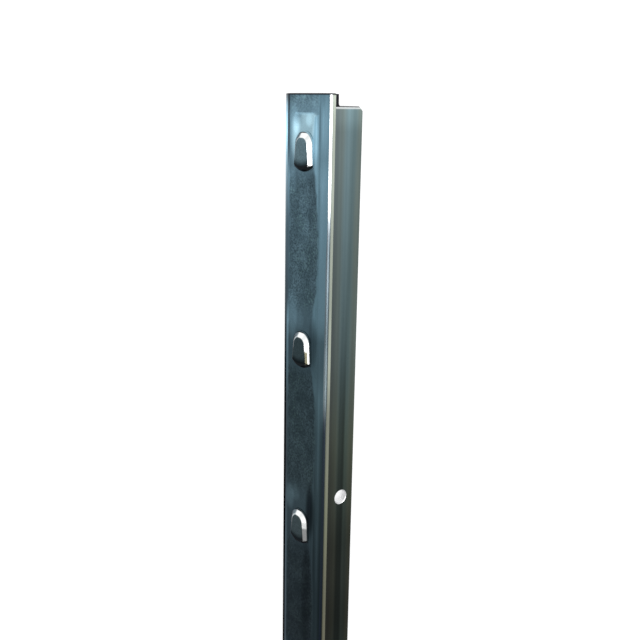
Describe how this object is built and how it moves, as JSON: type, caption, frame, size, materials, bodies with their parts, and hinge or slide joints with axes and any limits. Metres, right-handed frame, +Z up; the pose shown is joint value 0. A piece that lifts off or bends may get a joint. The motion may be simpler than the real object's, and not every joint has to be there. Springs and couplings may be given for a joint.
{
  "type": "studded steel t post",
  "caption": "Rolled steel T section fence post with arched wire studs along its flange, a hole through its web and a cropped web at the top end, lying at rest.",
  "frame": {"origin": "centre of the lying post's box, on the floor", "axes": "+X along the post towards its cropped top end, +Z up as it lies on one flange edge and the web's tip, +Y across it towards the studded front"},
  "size_m": [1.5, 0.0376, 0.0317],
  "materials": {
    "zinc_coated_steel": "zinc coated, smooth at the rolled edges and dull and mottled down the middle"
  },
  "bodies": {
    "root": {"t_post": "zinc_coated_steel"}
  },
  "joints": []
}
